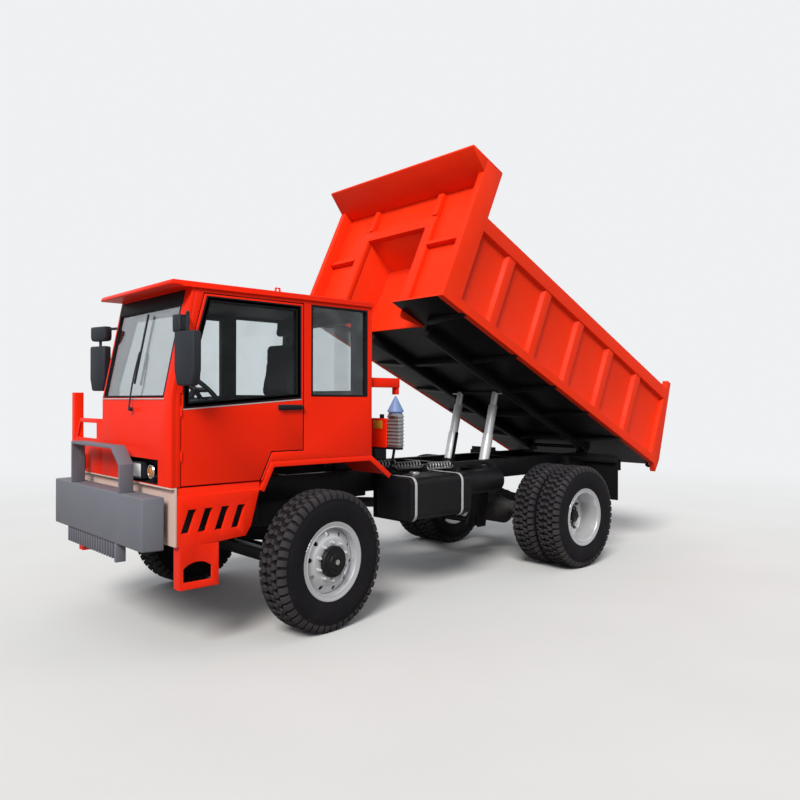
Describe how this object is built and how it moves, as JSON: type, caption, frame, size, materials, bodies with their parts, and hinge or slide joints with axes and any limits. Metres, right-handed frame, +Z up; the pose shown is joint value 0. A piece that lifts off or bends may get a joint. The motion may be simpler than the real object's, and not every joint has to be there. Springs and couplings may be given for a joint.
{
  "type": "dump truck",
  "caption": "Two-axle dump truck with a one-man cab on the left, a tipping steel bed with a canopy, steered front wheels and twin rear wheels.",
  "frame": {"origin": "on the ground at the middle of the truck's footprint", "axes": "+X forward, +Y to the left, +Z up"},
  "size_m": [6.6475, 2.4436, 4.0665],
  "materials": {
    "red_paint": "gloss",
    "grey_paint": "satin",
    "black_paint": "satin",
    "pale_primer": "satin",
    "silver_paint": "satin",
    "cast_metal": "matte",
    "polished_steel": "polished",
    "tyre_rubber": "matte",
    "flap_rubber": "matte",
    "window_glass": "clear",
    "lamp_lens": "clear",
    "black_plastic": "matte",
    "seat_fabric": "matte"
  },
  "bodies": {
    "chassis": {"air_cleaner": "black_paint", "air_tanks": "black_paint", "battery_box": "black_paint", "bed_hinge_mount": "black_paint", "bumper_backing": "pale_primer", "bumper_guard": "grey_paint", "cab_floor": "red_paint", "cab_front": "red_paint", "cab_glass": "window_glass", "cab_rear_wall": "red_paint", "cab_roof": "red_paint", "cab_side_left": "red_paint", "cab_side_right": "red_paint", "dash_and_steering": "black_plastic", "driveline": "cast_metal", "driver_seat": "seat_fabric", "engine_block": "cast_metal", "frame_cross_members": "black_paint", "frame_rails": "black_paint", "front_axle": "black_paint", "front_bumper": "grey_paint", "front_mudguards": "red_paint", "fuel_tank": "black_paint", "hydraulic_box": "red_paint", "lamps": "lamp_lens", "leaf_springs": "black_paint", "mirrors": "black_plastic", "mudflaps": "flap_rubber", "rear_axle": "black_paint", "right_hood": "red_paint", "side_skirt_left": "red_paint", "side_skirt_right": "red_paint"},
    "door_left": {"cab_door_left": "red_paint", "door_glass_left": "window_glass"},
    "knuckle_left": {"knuckle_left": "black_paint"},
    "knuckle_right": {"knuckle_right": "black_paint"},
    "tie_rod": {"tie_rod": "black_paint"},
    "wheel_front_left": {"front_rim_left": "silver_paint", "front_tyre_left": "tyre_rubber"},
    "wheel_front_right": {"front_rim_right": "silver_paint", "front_tyre_right": "tyre_rubber"},
    "wheels_rear_left": {"rear_rims_left": "silver_paint", "rear_tyres_left": "tyre_rubber"},
    "wheels_rear_right": {"rear_rims_right": "silver_paint", "rear_tyres_right": "tyre_rubber"},
    "bed": {"bed_floor": "red_paint", "bed_side_left": "red_paint", "bed_side_right": "red_paint", "bed_front_wall": "red_paint", "bed_pocket": "red_paint", "bed_canopy": "red_paint", "bed_beams": "black_paint"},
    "tailgate": {"tailgate": "red_paint"},
    "hoist_barrels": {"hoist_barrels": "black_paint"},
    "hoist_stage_one": {"hoist_stage_one": "polished_steel"},
    "hoist_stage_two": {"hoist_stage_two": "polished_steel"},
    "hoist_stage_three": {"hoist_stage_three": "polished_steel"}
  },
  "joints": [
    {"name": "steer_left", "type": "hinge", "parent": "chassis", "child": "knuckle_left", "pos_m": [2.012, 0.84, 0.5275], "axis": [0, 0, 1], "range_deg": [-42, 28]},
    {"name": "steer_right", "type": "hinge", "parent": "chassis", "child": "knuckle_right", "pos_m": [2.012, -0.84, 0.5275], "axis": [0, 0, 1], "range_deg": [-42, 28]},
    {"name": "tie_rod_slide", "type": "slide", "parent": "chassis", "child": "tie_rod", "axis": [0.1219, -0.9925, 0], "range_m": [-0.1105, 0.0738]},
    {"name": "spin_front_left", "type": "hinge", "parent": "knuckle_left", "child": "wheel_front_left", "pos_m": [1.98763, 1.03851, 0.5275], "axis": [-0.1219, 0.9925, 0], "continuous": true},
    {"name": "spin_front_right", "type": "hinge", "parent": "knuckle_right", "child": "wheel_front_right", "pos_m": [2.03637, -1.03851, 0.5275], "axis": [-0.1219, 0.9925, 0], "continuous": true},
    {"name": "spin_rear_left", "type": "hinge", "parent": "chassis", "child": "wheels_rear_left", "pos_m": [-1.262, 0.925, 0.5275], "axis": [0, 1, 0], "continuous": true},
    {"name": "spin_rear_right", "type": "hinge", "parent": "chassis", "child": "wheels_rear_right", "pos_m": [-1.262, -0.925, 0.5275], "axis": [0, 1, 0], "continuous": true},
    {"name": "door_left_hinge", "type": "hinge", "parent": "chassis", "child": "door_left", "pos_m": [3.09, 0.952, 1.7], "axis": [0, 0, -1], "range_deg": [0, 65]},
    {"name": "bed_tip", "type": "hinge", "parent": "chassis", "child": "bed", "pos_m": [-2.422, 0, 1.17044], "axis": [0, -1, 0], "range_deg": [-24.6, 17.4]},
    {"name": "tailgate_hinge", "type": "hinge", "parent": "bed", "child": "tailgate", "pos_m": [-3.27481, 0, 1.92931], "axis": [0, 1, 0], "range_deg": [0, 75]},
    {"name": "hoist_swing", "type": "hinge", "parent": "chassis", "child": "hoist_barrels", "pos_m": [-0.58578, 0, 0.45], "axis": [0, -1, 0], "range_deg": [-3.52, 2.5]},
    {"name": "hoist_slide_one", "type": "slide", "parent": "hoist_barrels", "child": "hoist_stage_one", "axis": [-0.2453, 0, 0.9694], "range_m": [-0.3096, 0.2192]},
    {"name": "hoist_slide_two", "type": "slide", "parent": "hoist_stage_one", "child": "hoist_stage_two", "axis": [-0.2453, 0, 0.9694], "range_m": [-0.3096, 0.2192]},
    {"name": "hoist_slide_three", "type": "slide", "parent": "hoist_stage_two", "child": "hoist_stage_three", "axis": [-0.2453, 0, 0.9694], "range_m": [-0.0716, 0.0508]}
  ],
  "couplings": [
    {"joint": "steer_right", "follows": "steer_left", "ratio": 1},
    {"joint": "tie_rod_slide", "follows": "steer_left", "m_per_rad": 0.15},
    {"joint": "hoist_swing", "follows": "bed_tip", "ratio": 0.141},
    {"joint": "hoist_slide_one", "follows": "bed_tip", "m_per_rad": 0.72},
    {"joint": "hoist_slide_two", "follows": "bed_tip", "m_per_rad": 0.72},
    {"joint": "hoist_slide_three", "follows": "bed_tip", "m_per_rad": 0.1657}
  ]
}
